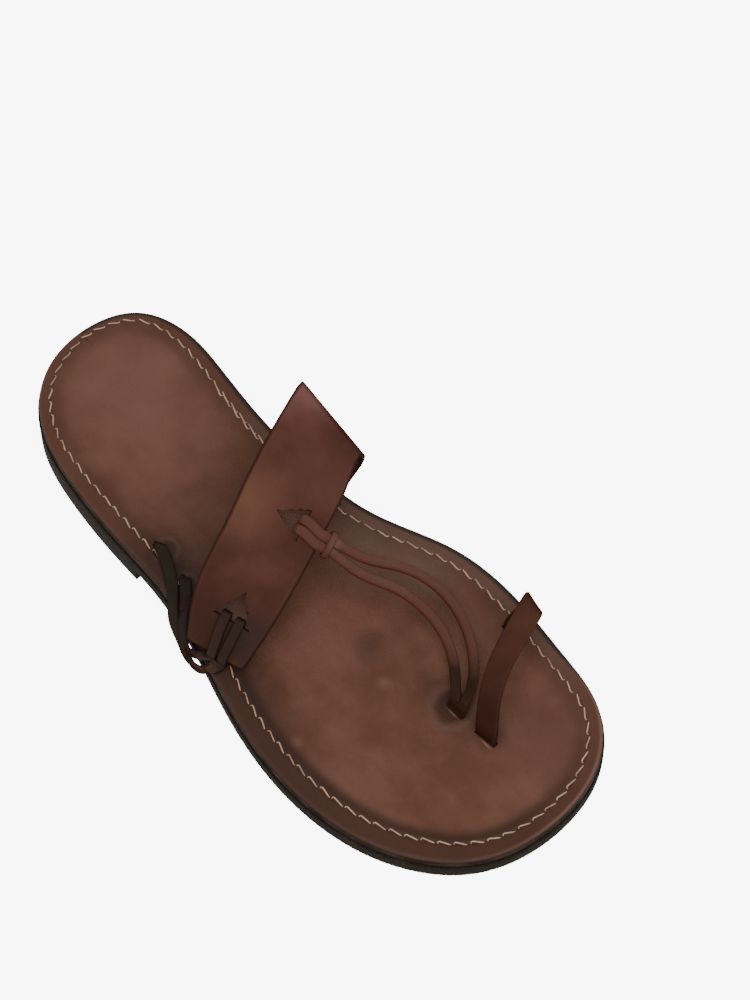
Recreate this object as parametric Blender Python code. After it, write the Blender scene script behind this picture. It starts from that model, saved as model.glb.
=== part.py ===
"""Leather toe-loop sandal, right foot, standing empty on its sole.

Frame: +Y runs from heel to toe, +X is the lateral side (the wearer's right), -X the medial side, +Z is up.
The origin lies on the floor under the middle of the sandal's box.  Tables are in millimetres.
"""
import bpy
import bmesh
import math
import numpy as np
from mathutils import Matrix, Vector

# ---------------------------------------------------------------- driving sizes
MM = 0.001
LENGTH = 270.0             # heel to toe, along the sole
BALL_WIDTH = 112.0         # widest, across the ball of the foot
HEEL_LIFT = 6.2            # rubber heel under the outsole
OUTSOLE = 5.8              # rubber outsole
INSOLE = 3.8               # leather insole
FIT = 0.3                  # gap that meeting pieces keep
WELT = 0.7                 # how far the rubber stands out past the leather
TOE_SPRING = 2.2           # how far the toe's tip curves up
HEEL_FRONT = 92.0          # front of the heel lift, from the back of the heel
FOREFOOT_START = 158.0     # where the sole comes down to the floor
SPRING_START = 226.0       # where the toe begins to curve up
DISH = 1.0                 # how deep the footbed is pressed
STITCH_MARGIN = 6.0        # seam to edge of the insole
SLIT_END = 0.4             # how far a strap's end stays above the outsole
STRAP_THICK = 2.0          # instep strap
LOOP_THICK = 1.9           # toe loop
LOOP_WIDTH = 9.6
STRAND_THICK = 1.5         # thongs, slit into two strands
FRONT_STRAND = 3.9
SIDE_STRAND = 4.6
RING_WIDTH = 2.8

FINE_POINTS = 720          # on the outline before it is thinned
RING_POINTS = 84           # on each ring of the sole
END_CROWDING = 0.35        # how much closer those stand at heel and toe
CROSS_STRIPS = 8
STRAP_STATIONS = 34
STRAP_STRIPS = 6

# ---------------------------------------------------------------- outline of the last
# along: share of LENGTH from the back of the heel; medial and lateral: shares of BALL_WIDTH from the axis.
LAST_SECTIONS = (
    # station           along   medial  lateral
    ("heel curve",      0.031,  0.239,  0.170),
    ("heel",            0.101,  0.316,  0.301),
    ("heel front",      0.185,  0.311,  0.350),
    ("waist",           0.290,  0.288,  0.370),
    ("instep",          0.390,  0.294,  0.375),
    ("waist front",     0.481,  0.336,  0.405),
    ("ball rear",       0.592,  0.456,  0.471),
    ("ball",            0.704,  0.497,  0.507),
    ("toes",            0.822,  0.473,  0.476),
    ("big toe",         0.906,  0.433,  0.388),
    ("toe curve",       0.973,  0.292,  0.232),
)
# Where the outline passes the axis' ends: lateral share of BALL_WIDTH, then share of LENGTH along.
HEEL_END = (-0.100, 0.006)
TOE_END = (-0.085, 1.0)

# ---------------------------------------------------------------- straps (millimetres)
# Each section of the instep strap runs from its rear edge to its front edge.
STRAP_SECTIONS = (
    # section            rear x   y      z      front x  y      z
    ("slit foot",        -26.8,   87.0,  13.5,  -29.3,  121.5,  10.8),
    ("slit mouth",       -27.0,   87.2,  17.0,  -29.6,  122.0,  14.6),
    ("medial flank",     -33.5,   89.0,  34.0,  -35.4,  124.5,  29.5),
    ("flank top",        -38.6,   92.6,  51.8,  -39.2,  127.0,  43.6),
    ("crown",            -36.6,   95.0,  59.4,  -36.4,  128.2,  49.2),
    ("top medial",       -25.0,  100.2,  61.8,  -25.0,  134.8,  49.6),
    ("top",              -10.0,  106.0,  59.6,  -11.0,  140.2,  43.6),
    ("slope",              4.5,  111.8,  55.2,    3.0,  144.8,  36.6),
    ("slope low",         17.5,  117.0,  48.6,   15.5,  148.6,  30.6),
    ("lateral flank",     30.0,  120.4,  40.0,   26.0,  151.2,  25.2),
    ("flank foot",        39.4,  123.8,  29.4,   33.0,  152.2,  20.6),
    ("tie end",           47.9,  130.0,  15.2,   40.6,  152.6,  14.0),
)

# Holes in the instep strap, as places on it: u from the slit (0) to the tie end (1), v from rear (0) to front (1).
FRONT_HOLE = ((0.597, 0.45), (0.538, 0.77), (0.628, 0.77))
SIDE_HOLE = ((0.812, 0.55), (0.895, 0.31), (0.895, 0.80))
FRONT_BANDS = (0.568, 0.597)       # u of the two bands of the front hitch
SIDE_BANDS = (0.465, 0.655)        # v of the two bands of the side hitch

# Slits in the insole: middle x, y, length along the slit, room for what goes through, turn from +Y (degrees).
SLITS = {
    "strap":       (-28.1, 104.5, 35.4, STRAP_THICK + 1.1, 4.1),
    "side rear":   (32.4, 94.5, SIDE_STRAND, STRAND_THICK + 0.4, -2.0),
    "side front":  (33.4, 111.0, SIDE_STRAND, STRAND_THICK + 0.4, -3.0),
    "front":       (-8.2, 213.2, 2 * FRONT_STRAND + 0.4, STRAND_THICK, 2.0),
    "toe lateral": (-9.3, 228.4, LOOP_WIDTH, LOOP_THICK, 6.0),
    "toe medial":  (-44.3, 203.6, LOOP_WIDTH, LOOP_THICK, -3.0),
}

# Paths of the thongs' strands between hitch and slit.
UPPER_STRAND = (
    (-14.5, 153.8, 34.6), (-22.6, 160.9, 29.2), (-28.8, 168.0, 25.2), (-32.0, 176.4, 22.1), (-32.4, 185.8, 19.1),
    (-29.4, 196.4, 16.5), (-23.8, 205.4, 14.8), (-16.4, 212.2, 14.2), (-10.0, 215.0, 13.0),
)
LOWER_STRAND = (
    (-11.0, 157.8, 31.6), (-18.0, 166.8, 26.2), (-22.7, 178.2, 21.0), (-22.6, 190.6, 17.1),
    (-18.2, 200.8, 15.0), (-12.6, 208.2, 14.2), (-9.6, 211.2, 13.0),
)
REAR_TIE = (
    (33.8, 100.0, 18.5), (36.8, 106.6, 17.5), (39.8, 111.6, 16.7), (42.6, 115.2, 15.8), (44.7, 117.7, 13.6),
    (46.2, 120.4, 10.2), (47.7, 125.6, 7.6), (49.8, 131.4, 6.8), (51.1, 136.6, 7.6), (50.8, 141.2, 10.4),
    (49.0, 144.0, 13.4),
)
FRONT_TIE = (
    (36.0, 114.6, 17.6), (39.4, 118.6, 16.8), (43.2, 122.1, 15.4), (46.6, 125.4, 12.1), (49.0, 129.4, 10.6),
    (49.6, 134.0, 11.6), (48.4, 138.2, 14.6),
)
TOE_LOOP = (
    (-10.9, 226.8, 17.2), (-14.4, 223.8, 24.6), (-20.2, 220.4, 31.8), (-28.2, 217.2, 36.6), (-37.0, 214.2, 38.8),
    (-44.6, 211.2, 38.6), (-48.6, 208.8, 35.4), (-49.2, 207.0, 28.0), (-47.2, 205.0, 18.6),
)
TOE_LOOP_TURNS = (6, 6, -1, -9, -15, -16, -14, -10, -6, -3)     # of its width from +Y, degrees, evenly along it

# ---------------------------------------------------------------- materials
MATERIALS = {
    # piece                 colour                  roughness
    "heel_lift":            ((0.012, 0.013, 0.010), 0.74),
    "outsole":              ((0.013, 0.015, 0.012), 0.70),
    "insole":               ((0.155, 0.072, 0.047), 0.48),
    "upper_instep_strap":   ((0.085, 0.030, 0.021), 0.38),
    "upper_front_thong":    ((0.060, 0.024, 0.017), 0.42),
    "upper_side_thong":     ((0.064, 0.026, 0.018), 0.42),
    "upper_toe_loop":       ((0.090, 0.034, 0.024), 0.40),
}


def material(piece):
    """The Principled material of one piece."""
    colour, roughness = MATERIALS[piece]
    made = bpy.data.materials.new(piece + " finish")
    made.use_nodes = True
    shader = made.node_tree.nodes["Principled BSDF"]
    shader.inputs["Base Color"].default_value = (*colour, 1.0)
    shader.inputs["Roughness"].default_value = roughness
    shader.inputs["Metallic"].default_value = 0.0
    return made


def clear_scene():
    for old in list(bpy.data.objects):
        bpy.data.objects.remove(old, do_unlink=True)


def new_object(name, mesh):
    """Link a mesh as an object."""
    thing = bpy.data.objects.new(name, mesh)
    bpy.context.collection.objects.link(thing)
    return thing


def mesh_from(name, points, faces):
    """A mesh from points in millimetres, with its faces turned outwards."""
    form = bmesh.new()
    corners = [form.verts.new(Vector(point) * MM) for point in points]
    for face in faces:
        form.faces.new([corners[i] for i in face])
    bmesh.ops.recalc_face_normals(form, faces=form.faces)
    mesh = bpy.data.meshes.new(name)
    form.to_mesh(mesh)
    form.free()
    return mesh


def join_by_boolean(thing, others, operation):
    """Unite or cut with other objects, which then go."""
    for other in others:
        step = thing.modifiers.new(operation.lower(), "BOOLEAN")
        step.operation = operation
        step.solver = "EXACT"
        step.object = other
        bpy.context.view_layer.update()
        shaped = bpy.data.meshes.new_from_object(thing.evaluated_get(bpy.context.evaluated_depsgraph_get()))
        thing.modifiers.remove(step)
        thing.data = shaped
        bpy.data.objects.remove(other, do_unlink=True)


# ---------------------------------------------------------------- curves
def spline(points, closed=False):
    """Cubic through the points, by chord length; gives a function of 0..1."""
    knots = np.array(points, float)
    if closed:
        knots = np.vstack([knots, knots[:1]])
    steps = np.linalg.norm(np.diff(knots, axis=0), axis=1)
    at = np.concatenate([[0.0], np.cumsum(steps)])
    count = len(knots)
    matrix = np.zeros((count, count))
    right = np.zeros_like(knots)
    slopes = np.diff(knots, axis=0) / steps[:, None]
    for i in range(1, count - 1):
        matrix[i, i - 1:i + 2] = steps[i - 1], 2 * (steps[i - 1] + steps[i]), steps[i]
        right[i] = 6 * (slopes[i] - slopes[i - 1])
    if closed:
        matrix[0, [0, 1, -2]] = 2 * (steps[-1] + steps[0]), steps[0], steps[-1]
        right[0] = 6 * (slopes[0] - slopes[-1])
        matrix[-1, [0, -1]] = 1, -1
    else:
        matrix[0, 0] = matrix[-1, -1] = 1
    bend = np.linalg.solve(matrix, right)

    def place(share):
        where = np.clip(share, 0, 1) * at[-1]
        i = int(np.clip(np.searchsorted(at, where, side="right") - 1, 0, count - 2))
        span = steps[i]
        a = (at[i + 1] - where) / span
        b = (where - at[i]) / span
        curve = ((a ** 3 - a) * bend[i] + (b ** 3 - b) * bend[i + 1]) * span ** 2 / 6
        return a * knots[i] + b * knots[i + 1] + curve

    return place


def smooth_step(value):
    value = min(max(value, 0.0), 1.0)
    return value * value * (3 - 2 * value)


# ---------------------------------------------------------------- sole
def outline_curve():
    """The sole's outline, once round from the back of the heel by the medial side."""
    medial = [(-m * BALL_WIDTH, a * LENGTH) for _, a, m, _ in LAST_SECTIONS]
    lateral = [(s * BALL_WIDTH, a * LENGTH) for _, a, _, s in LAST_SECTIONS]
    heel_end = (HEEL_END[0] * BALL_WIDTH, HEEL_END[1] * LENGTH)
    toe_end = (TOE_END[0] * BALL_WIDTH, TOE_END[1] * LENGTH)
    return spline([heel_end, *medial, toe_end, *lateral[::-1]], closed=True)


def outline_ring(inset):
    """Points round the outline, moved inwards; the first is at the heel and half way round is the toe."""
    curve = outline_curve()
    fine = np.array([curve(i / FINE_POINTS) for i in range(FINE_POINTS)])
    toe = int(np.argmax(fine[:, 1]))
    heel = int(np.argmin(fine[:, 1]))
    fine = np.roll(fine, -heel, axis=0)
    toe = (toe - heel) % FINE_POINTS
    half = RING_POINTS // 2
    eased = [0.5 * (1 - math.cos(math.pi * i / half)) for i in range(half)]
    shares = [END_CROWDING * ease + (1 - END_CROWDING) * i / half for i, ease in enumerate(eased)]
    picks = [toe * s for s in shares] + [toe + (FINE_POINTS - toe) * s for s in shares]
    ring = []
    for pick in picks:
        i = int(pick) % FINE_POINTS
        part = pick - int(pick)
        here = fine[i] * (1 - part) + fine[(i + 1) % FINE_POINTS] * part
        along = fine[(i + 3) % FINE_POINTS] - fine[i - 3]
        inward = np.array([along[1], -along[0]]) / np.linalg.norm(along)
        ring.append(here + inward * inset)
    return np.array(ring)


def underside(y):
    """Height of the outsole's underside: on the heel lift, down through the arch, flat, then toe spring."""
    raised = (HEEL_LIFT + FIT) * (1 - smooth_step((y - HEEL_FRONT) / (FOREFOOT_START - HEEL_FRONT)))
    spring = TOE_SPRING * (max(y - SPRING_START, 0) / (LENGTH - SPRING_START)) ** 2
    return raised + spring


def footbed(y):
    """Height of the insole's upper side at the seam."""
    return underside(y) + OUTSOLE + FIT + INSOLE


def plate(name, base, rings, dished=0.0):
    """A sole layer from rings (inset, height over base, a function of y), closed by strips across."""
    points = []
    faces = []
    loops = []
    for inset, height in rings:
        ring = outline_ring(inset)
        loops.append(list(range(len(points), len(points) + len(ring))))
        points += [(x, y, base(y) + height) for x, y in ring]
    for lower, upper in zip(loops, loops[1:]):
        for i in range(RING_POINTS):
            j = (i + 1) % RING_POINTS
            faces.append((lower[i], lower[j], upper[j], upper[i]))
    half = RING_POINTS // 2
    for loop, depth, height in ((loops[0], 0.0, rings[0][1]), (loops[-1], dished, rings[-1][1])):
        rows = [[loop[0]] * (CROSS_STRIPS + 1)]
        for i in range(1, half):
            left = points[loop[i]]
            right = points[loop[RING_POINTS - i]]
            row = [loop[i]]
            for k in range(1, CROSS_STRIPS):
                share = k / CROSS_STRIPS
                x = left[0] + (right[0] - left[0]) * share
                y = left[1] + (right[1] - left[1]) * share
                ends = math.sin(math.pi * i / half) ** 0.5
                sink = depth * ends * math.sin(math.pi * share) ** 0.7
                points.append((x, y, base(y) + height - sink))
                row.append(len(points) - 1)
            row.append(loop[RING_POINTS - i])
            rows.append(row)
        rows.append([loop[half]] * (CROSS_STRIPS + 1))
        for near, far in zip(rows, rows[1:]):
            for k in range(CROSS_STRIPS):
                corners = [near[k], near[k + 1], far[k + 1], far[k]]
                faces.append(tuple(dict.fromkeys(corners)))
    return new_object(name, mesh_from(name, points, faces))


def block(name, centre, size, angle=0.0):
    """A cutter, in millimetres, turned about the vertical."""
    bpy.ops.mesh.primitive_cube_add(size=1.0, location=Vector(centre) * MM, rotation=(0, 0, angle))
    cutter = bpy.context.object
    cutter.name = name
    cutter.scale = Vector(size) * MM
    cutter.hide_render = True
    cutter.display_type = "WIRE"
    bpy.context.view_layer.update()
    return cutter


def make_sole():
    heel = plate("heel_lift", lambda y: 0.0, (
        (1.0 - WELT, 0.0),
        (0.2 - WELT, 0.8),
        (-WELT, HEEL_LIFT),
        (0.4 - WELT, HEEL_LIFT),
    ))
    front = block("heel front", (0, HEEL_FRONT + LENGTH / 2, 0), (2 * BALL_WIDTH, LENGTH, 60))
    join_by_boolean(heel, [front], "DIFFERENCE")
    plate("outsole", underside, (
        (0.9 - WELT, 0.0),
        (-WELT, 0.9),
        (-WELT, OUTSOLE - 0.7),
        (0.7 - WELT, OUTSOLE),
    ))
    bottom = OUTSOLE + FIT
    return plate("insole", underside, (
        (0.5, bottom),
        (0.0, bottom + 0.5),
        (0.0, bottom + INSOLE - 1.3),
        (0.5, bottom + INSOLE - 0.4),
        (1.5, bottom + INSOLE),
        (STITCH_MARGIN + 1.0, bottom + INSOLE),
        (STITCH_MARGIN + 4.5, bottom + INSOLE - 0.45),
    ), dished=DISH - 0.45)


# ---------------------------------------------------------------- straps
def strap_surface():
    """Middle of the instep strap's leather: a function of u (slit to tie end) and v (rear to front)."""
    rear = spline([row[1:4] for row in STRAP_SECTIONS])
    front = spline([row[4:7] for row in STRAP_SECTIONS])

    def place(u, v):
        return rear(u) * (1 - v) + front(u) * v

    def normal(u, v):
        step = 0.004
        along = place(min(u + step, 1), v) - place(max(u - step, 0), v)
        across = place(u, v + step) - place(u, v - step)
        up = np.cross(along, across)
        return up / np.linalg.norm(up)

    return place, normal


def slab(name, rows, thick):
    """A leather band between two sheets, from rows of (point, normal)."""
    count = len(rows[0])
    points = []
    for side in (0.5, -0.5):
        for row in rows:
            points += [point + normal * thick * side for point, normal in row]
    sheet = len(rows) * count
    faces = []
    for i in range(len(rows) - 1):
        for k in range(count - 1):
            a = i * count + k
            faces.append((a, a + 1, a + count + 1, a + count))
            faces.append((a + sheet, a + count + sheet, a + count + 1 + sheet, a + 1 + sheet))
    edge = list(range(count))
    edge += [i * count + count - 1 for i in range(1, len(rows))]
    edge += [(len(rows) - 1) * count + k for k in range(count - 2, -1, -1)]
    edge += [i * count for i in range(len(rows) - 2, 0, -1)]
    for a, b in zip(edge, edge[1:] + edge[:1]):
        faces.append((a, a + sheet, b + sheet, b))
    return new_object(name, mesh_from(name, points, faces))


def prism(name, corners, direction, reach):
    """A cutter through a sheet, with the given corners."""
    count = len(corners)
    points = [corner + direction * reach for corner in corners]
    points += [corner - direction * reach for corner in corners]
    faces = [tuple(range(count)), tuple(range(2 * count - 1, count - 1, -1))]
    for i in range(count):
        j = (i + 1) % count
        faces.append((i, i + count, j + count, j))
    cutter = new_object(name, mesh_from(name, points, faces))
    cutter.hide_render = True
    cutter.display_type = "WIRE"
    return cutter


def make_instep_strap():
    place, normal = strap_surface()
    rows = []
    for i in range(STRAP_STATIONS + 1):
        u = i / STRAP_STATIONS
        rows.append([(place(u, k / STRAP_STRIPS), normal(u, k / STRAP_STRIPS)) for k in range(STRAP_STRIPS + 1)])
    strap = slab("upper_instep_strap", rows, STRAP_THICK)
    cutters = []
    for name, hole in (("front hole", FRONT_HOLE), ("side hole", SIDE_HOLE)):
        corners = [place(u, v) for u, v in hole]
        middle_u = sum(u for u, _ in hole) / 3
        middle_v = sum(v for _, v in hole) / 3
        cutters.append(prism(name, corners, normal(middle_u, middle_v), 2.5 * STRAP_THICK))
    join_by_boolean(strap, cutters, "DIFFERENCE")
    return strap


def lie(path, count, closed=False):
    """Points and tangents evenly along a smooth curve through the path."""
    curve = spline(path, closed)
    stops = [i / count for i in range(count)] if closed else [i / (count - 1) for i in range(count)]
    places = np.array([curve(stop) for stop in stops])
    if closed:
        along = np.roll(places, -1, axis=0) - np.roll(places, 1, axis=0)
    else:
        along = np.gradient(places, axis=0)
    return places, along / np.linalg.norm(along, axis=1)[:, None]


def between(vectors, share):
    """The vector at a share of the way through a list of them."""
    where = share * (len(vectors) - 1)
    i = min(int(where), len(vectors) - 2)
    return np.array(vectors[i]) * (i + 1 - where) + np.array(vectors[i + 1]) * (where - i)


def ribbon(name, path, widths, wide, thick, count, closed=False):
    """A strip of leather with eased corners along a path; widths give the way it is wide."""
    places, along = lie(path, count, closed)
    ease = 0.3 * thick
    section = [
        (wide / 2, thick / 2 - ease), (wide / 2 - ease, thick / 2), (ease - wide / 2, thick / 2),
        (-wide / 2, thick / 2 - ease), (-wide / 2, ease - thick / 2), (ease - wide / 2, -thick / 2),
        (wide / 2 - ease, -thick / 2), (wide / 2, ease - thick / 2),
    ]
    points = []
    for i, (place, tangent) in enumerate(zip(places, along)):
        flat = between(widths, i / (count if closed else count - 1))
        flat = flat - tangent * flat.dot(tangent)
        flat /= np.linalg.norm(flat)
        out = np.cross(tangent, flat)
        points += [place + flat * a + out * b for a, b in section]
    sides = len(section)
    faces = []
    for i in range(count if closed else count - 1):
        j = (i + 1) % count
        for k in range(sides):
            m = (k + 1) % sides
            faces.append((i * sides + k, i * sides + m, j * sides + m, j * sides + k))
    if not closed:
        faces.append(tuple(range(sides)))
        faces.append(tuple(range((count - 1) * sides, count * sides)))
    return new_object(name, mesh_from(name, points, faces))


def wrap_path(places, out, reach):
    """Closed path round a margin of the strap: over it, round its edge, back under it, up through the hole.

    places run from the hole's side to the edge; each is (point, normal)."""
    (hole, hole_normal), (middle, middle_normal), (edge, edge_normal) = places
    corner = reach * 0.72
    return [
        hole + hole_normal * reach,
        middle + middle_normal * reach,
        edge + edge_normal * reach,
        edge + edge_normal * corner + out * corner,
        edge + out * reach,
        edge - edge_normal * corner + out * corner,
        edge - edge_normal * reach,
        middle - middle_normal * reach,
        hole - hole_normal * reach,
        hole - hole_normal * corner - out * corner,
        hole - out * reach,
        hole + hole_normal * corner - out * corner,
    ]


def unit(vector):
    return vector / np.linalg.norm(vector)


WRAP_REACH = STRAP_THICK / 2 + 1.4 * FIT + STRAND_THICK / 2


def level_way(turn):
    """Unit vector in the plan, turned from +Y towards the medial side."""
    return np.array([-math.sin(math.radians(turn)), math.cos(math.radians(turn)), 0.0])


def through_slit(name):
    """Points straight up through a slit of the insole, from a strap's end to just over the footbed."""
    x, y = SLITS[name][:2]
    top = footbed(y)
    return [(x, y, height) for height in (top - INSOLE + SLIT_END, top - 0.6, top + 1.4)]


def make_front_thong():
    """One lace slit in two, hitched round the strap's front margin and let into the insole between the toes."""
    place, normal = strap_surface()
    hole_v = FRONT_HOLE[1][1]
    pieces = []
    ends = []
    for u in FRONT_BANDS:
        along = unit(place(u + 0.01, 1) - place(u - 0.01, 1))
        out = unit(place(u, 1) - place(u, 0.9))
        out = unit(out - along * out.dot(along))
        spots = [(place(u, v), normal(u, v)) for v in (hole_v, (1 + hole_v) / 2, 1.0)]
        path = wrap_path(spots, out, WRAP_REACH)
        pieces.append(ribbon("hitch band", path, [along] * 2, FRONT_STRAND, STRAND_THICK, 20, closed=True))
        ends.append((place(u, 1) + out * 1.25 - normal(u, 1) * WRAP_REACH * 0.73, along, out, normal(u, 1)))
    middle = sum(FRONT_BANDS) / 2
    along = unit(place(middle + 0.01, 1) - place(middle - 0.01, 1))
    edge_normal = normal(middle, 1)
    out = ends[0][2]
    ring_stand_off = WRAP_REACH + 1.5
    ring_drop = 1.4
    ring_half_long = FRONT_STRAND + 0.9
    ring_half_high = 1.75
    centre = place(middle, 1) + out * ring_stand_off - edge_normal * ring_drop
    ring = [
        centre + along * ring_half_long * a + edge_normal * ring_half_high * b
        for a, b in ((1, 0), (0.86, 0.8), (0, 1), (-0.86, 0.8), (-1, 0), (-0.86, -0.8), (0, -1), (0.86, -0.8))
    ]
    pieces.append(ribbon("hitch ring", ring, [out] * 2, RING_WIDTH, STRAND_THICK, 16, closed=True))
    x, y, _, _, turn = SLITS["front"]
    slit_way = np.array([math.sin(math.radians(-turn)), math.cos(math.radians(turn)), 0.0])
    foot = footbed(y) - INSOLE + SLIT_END
    for end, route, side in ((ends[0], UPPER_STRAND, 0.5), (ends[1], LOWER_STRAND, -0.5)):
        start = end[0]
        tail = np.array([x, y, 0]) + slit_way * side * (FRONT_STRAND + 0.2)
        path = [start, start + end[2] * 3.4 - end[3] * 0.8, *route,
                tail + [0, 0, footbed(y) + 0.6], tail + [0, 0, foot]]
        widths = [end[1], end[1], end[1], end[1] * 0.6 - slit_way * 0.4, -slit_way, -slit_way]
        pieces.append(ribbon("strand", path, widths, FRONT_STRAND, STRAND_THICK, 26))
    stem_top = np.array([x - 0.9, y, footbed(y) + 3.2])
    stem = [(x, y, foot), (x, y, footbed(y)), stem_top]
    pieces.append(ribbon("stem", stem, [slit_way] * 2, 2 * FRONT_STRAND + 0.4, STRAND_THICK, 5))
    thong = pieces[0]
    thong.name = "upper_front_thong"
    join_by_boolean(thong, pieces[1:], "UNION")


def make_side_thong():
    """The lateral lace: two strands out of the insole, over its edge, hitched through the strap's tie end."""
    place, normal = strap_surface()
    hole_u = SIDE_HOLE[1][0]
    pieces = []
    ends = []
    for v in SIDE_BANDS:
        across = unit(place(1, v + 0.02) - place(1, v - 0.02))
        out = unit(place(1, v) - place(0.97, v))
        out = unit(out - across * out.dot(across))
        spots = [(place(u, v), normal(u, v)) for u in (hole_u, (1 + hole_u) / 2, 1.0)]
        path = wrap_path(spots, out, WRAP_REACH)
        pieces.append(ribbon("tie band", path, [across] * 2, FRONT_STRAND, STRAND_THICK, 20, closed=True))
        ends.append((place(1, v) + out * WRAP_REACH, across, out, normal(1, v)))
    crossing = []
    crossing_lift = 0.75
    for share in (-0.42, 0.0, 0.5, 1.0, 1.42):      # of the way between the bands, and a little past both
        v = SIDE_BANDS[0] * (1 - share) + SIDE_BANDS[1] * share
        crossing.append(place(1, v) + ends[0][2] * (WRAP_REACH + 0.1) + ends[0][3] * crossing_lift)
    pieces.append(ribbon("tie crossing", crossing, [ends[0][3]] * 2, RING_WIDTH, 1.1 * STRAND_THICK, 7))
    thong = pieces[0]
    # Which way each strand is wide, from its slit to the hitch: along the slit, flat over the insole's edge,
    # leaning on the side of the sole, then upright in the bight.
    ahead = np.array([0.0, 1.0, 0.0])
    turning = np.array([-0.6, 0.7, 0.3])
    flat = np.array([-0.88, 0.4, 0.2])
    leaning = np.array([-0.66, 0.15, 0.74])
    up = np.array([0.0, 0.0, 1.0])
    for slit, route, end, ways in (
        ("side rear", REAR_TIE, ends[1], [ahead] * 2 + [turning] + [flat] * 4 + [leaning] * 6 + [up] * 3),
        ("side front", FRONT_TIE, ends[0], [ahead] * 2 + [turning] + [flat] * 2 + [leaning] * 4 + [up] * 2),
    ):
        path = [*through_slit(slit), *route, end[0]]
        pieces.append(ribbon("tie strand", path, [*ways, end[1], end[1]], SIDE_STRAND, STRAND_THICK, 30))
    thong.name = "upper_side_thong"
    join_by_boolean(thong, pieces[1:], "UNION")


def make_toe_loop():
    """A band for the big toe, let into the insole at both ends."""
    lateral = through_slit("toe lateral")
    medial = through_slit("toe medial")
    path = [*lateral, *TOE_LOOP, *medial[::-1]]
    ways = [level_way(turn) for turn in TOE_LOOP_TURNS]
    ribbon("upper_toe_loop", path, ways, LOOP_WIDTH, LOOP_THICK, 34)


def cut_slits(insole):
    """Slits for every strap that goes down through the insole, with the fit's gap all round."""
    cutters = []
    for name, (x, y, long, thick, turn) in SLITS.items():
        size = (thick + 2 * FIT, long + 2 * FIT, 4 * INSOLE)
        cutters.append(block("slit " + name, (x, y, footbed(y) - INSOLE / 2), size, math.radians(turn)))
    join_by_boolean(insole, cutters, "DIFFERENCE")


def finish_pieces():
    """Give each piece its material, and the sandal its origin: on the floor under the middle of its box."""
    meshes = []
    for piece in MATERIALS:
        mesh = bpy.data.objects[piece].data
        mesh.materials.clear()
        mesh.materials.append(material(piece))
        meshes.append(mesh)
    corners = np.array([tuple(vertex.co) for mesh in meshes for vertex in mesh.vertices])
    low = corners.min(axis=0)
    high = corners.max(axis=0)
    shift = Matrix.Translation((-(low[0] + high[0]) / 2, -(low[1] + high[1]) / 2, -low[2]))
    for mesh in meshes:
        mesh.transform(shift)


clear_scene()
insole_piece = make_sole()
cut_slits(insole_piece)
make_instep_strap()
make_front_thong()
make_side_thong()
make_toe_loop()
finish_pieces()
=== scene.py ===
import math

import bpy
import numpy as np
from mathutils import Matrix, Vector
from mathutils.kdtree import KDTree


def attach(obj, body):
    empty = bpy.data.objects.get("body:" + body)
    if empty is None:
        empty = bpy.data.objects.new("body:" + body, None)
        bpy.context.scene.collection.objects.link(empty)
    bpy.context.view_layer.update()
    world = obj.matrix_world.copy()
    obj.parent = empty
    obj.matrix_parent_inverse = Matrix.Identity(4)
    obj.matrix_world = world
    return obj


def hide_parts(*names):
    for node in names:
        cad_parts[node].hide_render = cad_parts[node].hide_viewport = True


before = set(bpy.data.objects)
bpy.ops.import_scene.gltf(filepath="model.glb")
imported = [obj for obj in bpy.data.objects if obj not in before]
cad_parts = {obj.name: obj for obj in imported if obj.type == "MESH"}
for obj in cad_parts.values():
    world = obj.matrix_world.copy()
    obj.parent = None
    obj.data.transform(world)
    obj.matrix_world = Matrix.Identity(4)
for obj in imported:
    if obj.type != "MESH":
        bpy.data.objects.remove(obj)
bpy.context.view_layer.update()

# ---- Table, light and camera ----
# The sandal stands on plain white paper, under one wide soft box in an evenly lit white room.
# The paper looks brighter than the light that it throws back on the sandal.
# The camera looks down on the sandal's lateral side from ahead of the toes.
AIM = Vector((-0.0431, -0.0063, 0.012))
AZIMUTH = math.radians(139.065)
ELEVATION = math.radians(60.0)
DISTANCE = 1.2155
LENS_TO_PICTURE = 3.26684
PICTURE_HEIGHT = 36.0
PAPER_WIDE = 8.0
PAPER_SEEN = 7.0
PAPER_THROWN = 0.9
SOFT_BOX_PLACE = (0.35, 0.55, 1.4)
SOFT_BOX_TURN = (math.radians(-21.0), math.radians(14.0), 0.0)
SOFT_BOX_WIDE = 1.2
SOFT_BOX_POWER = 22.0

bpy.ops.object.select_all(action="DESELECT")
bpy.ops.mesh.primitive_plane_add(size=PAPER_WIDE)
paper = bpy.context.object
paper.name = "paper"
paper_finish = bpy.data.materials.new("white paper")
paper_finish.use_nodes = True
paper_shader = paper_finish.node_tree.nodes["Principled BSDF"]
paper_shader.inputs["Base Color"].default_value = (0.93, 0.93, 0.93, 1.0)
paper_shader.inputs["Roughness"].default_value = 0.95
paper_shader.inputs["Specular IOR Level"].default_value = 0.0
paper_shader.inputs["Emission Color"].default_value = (1.0, 1.0, 1.0, 1.0)
paper_tree = paper_finish.node_tree
paper_rays = paper_tree.nodes.new("ShaderNodeLightPath")
paper_glow = paper_tree.nodes.new("ShaderNodeMapRange")
paper_glow.inputs["To Min"].default_value = PAPER_THROWN
paper_glow.inputs["To Max"].default_value = PAPER_SEEN
paper_tree.links.new(paper_rays.outputs["Is Camera Ray"], paper_glow.inputs["Value"])
paper_tree.links.new(paper_glow.outputs["Result"], paper_shader.inputs["Emission Strength"])
paper.data.materials.append(paper_finish)

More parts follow.
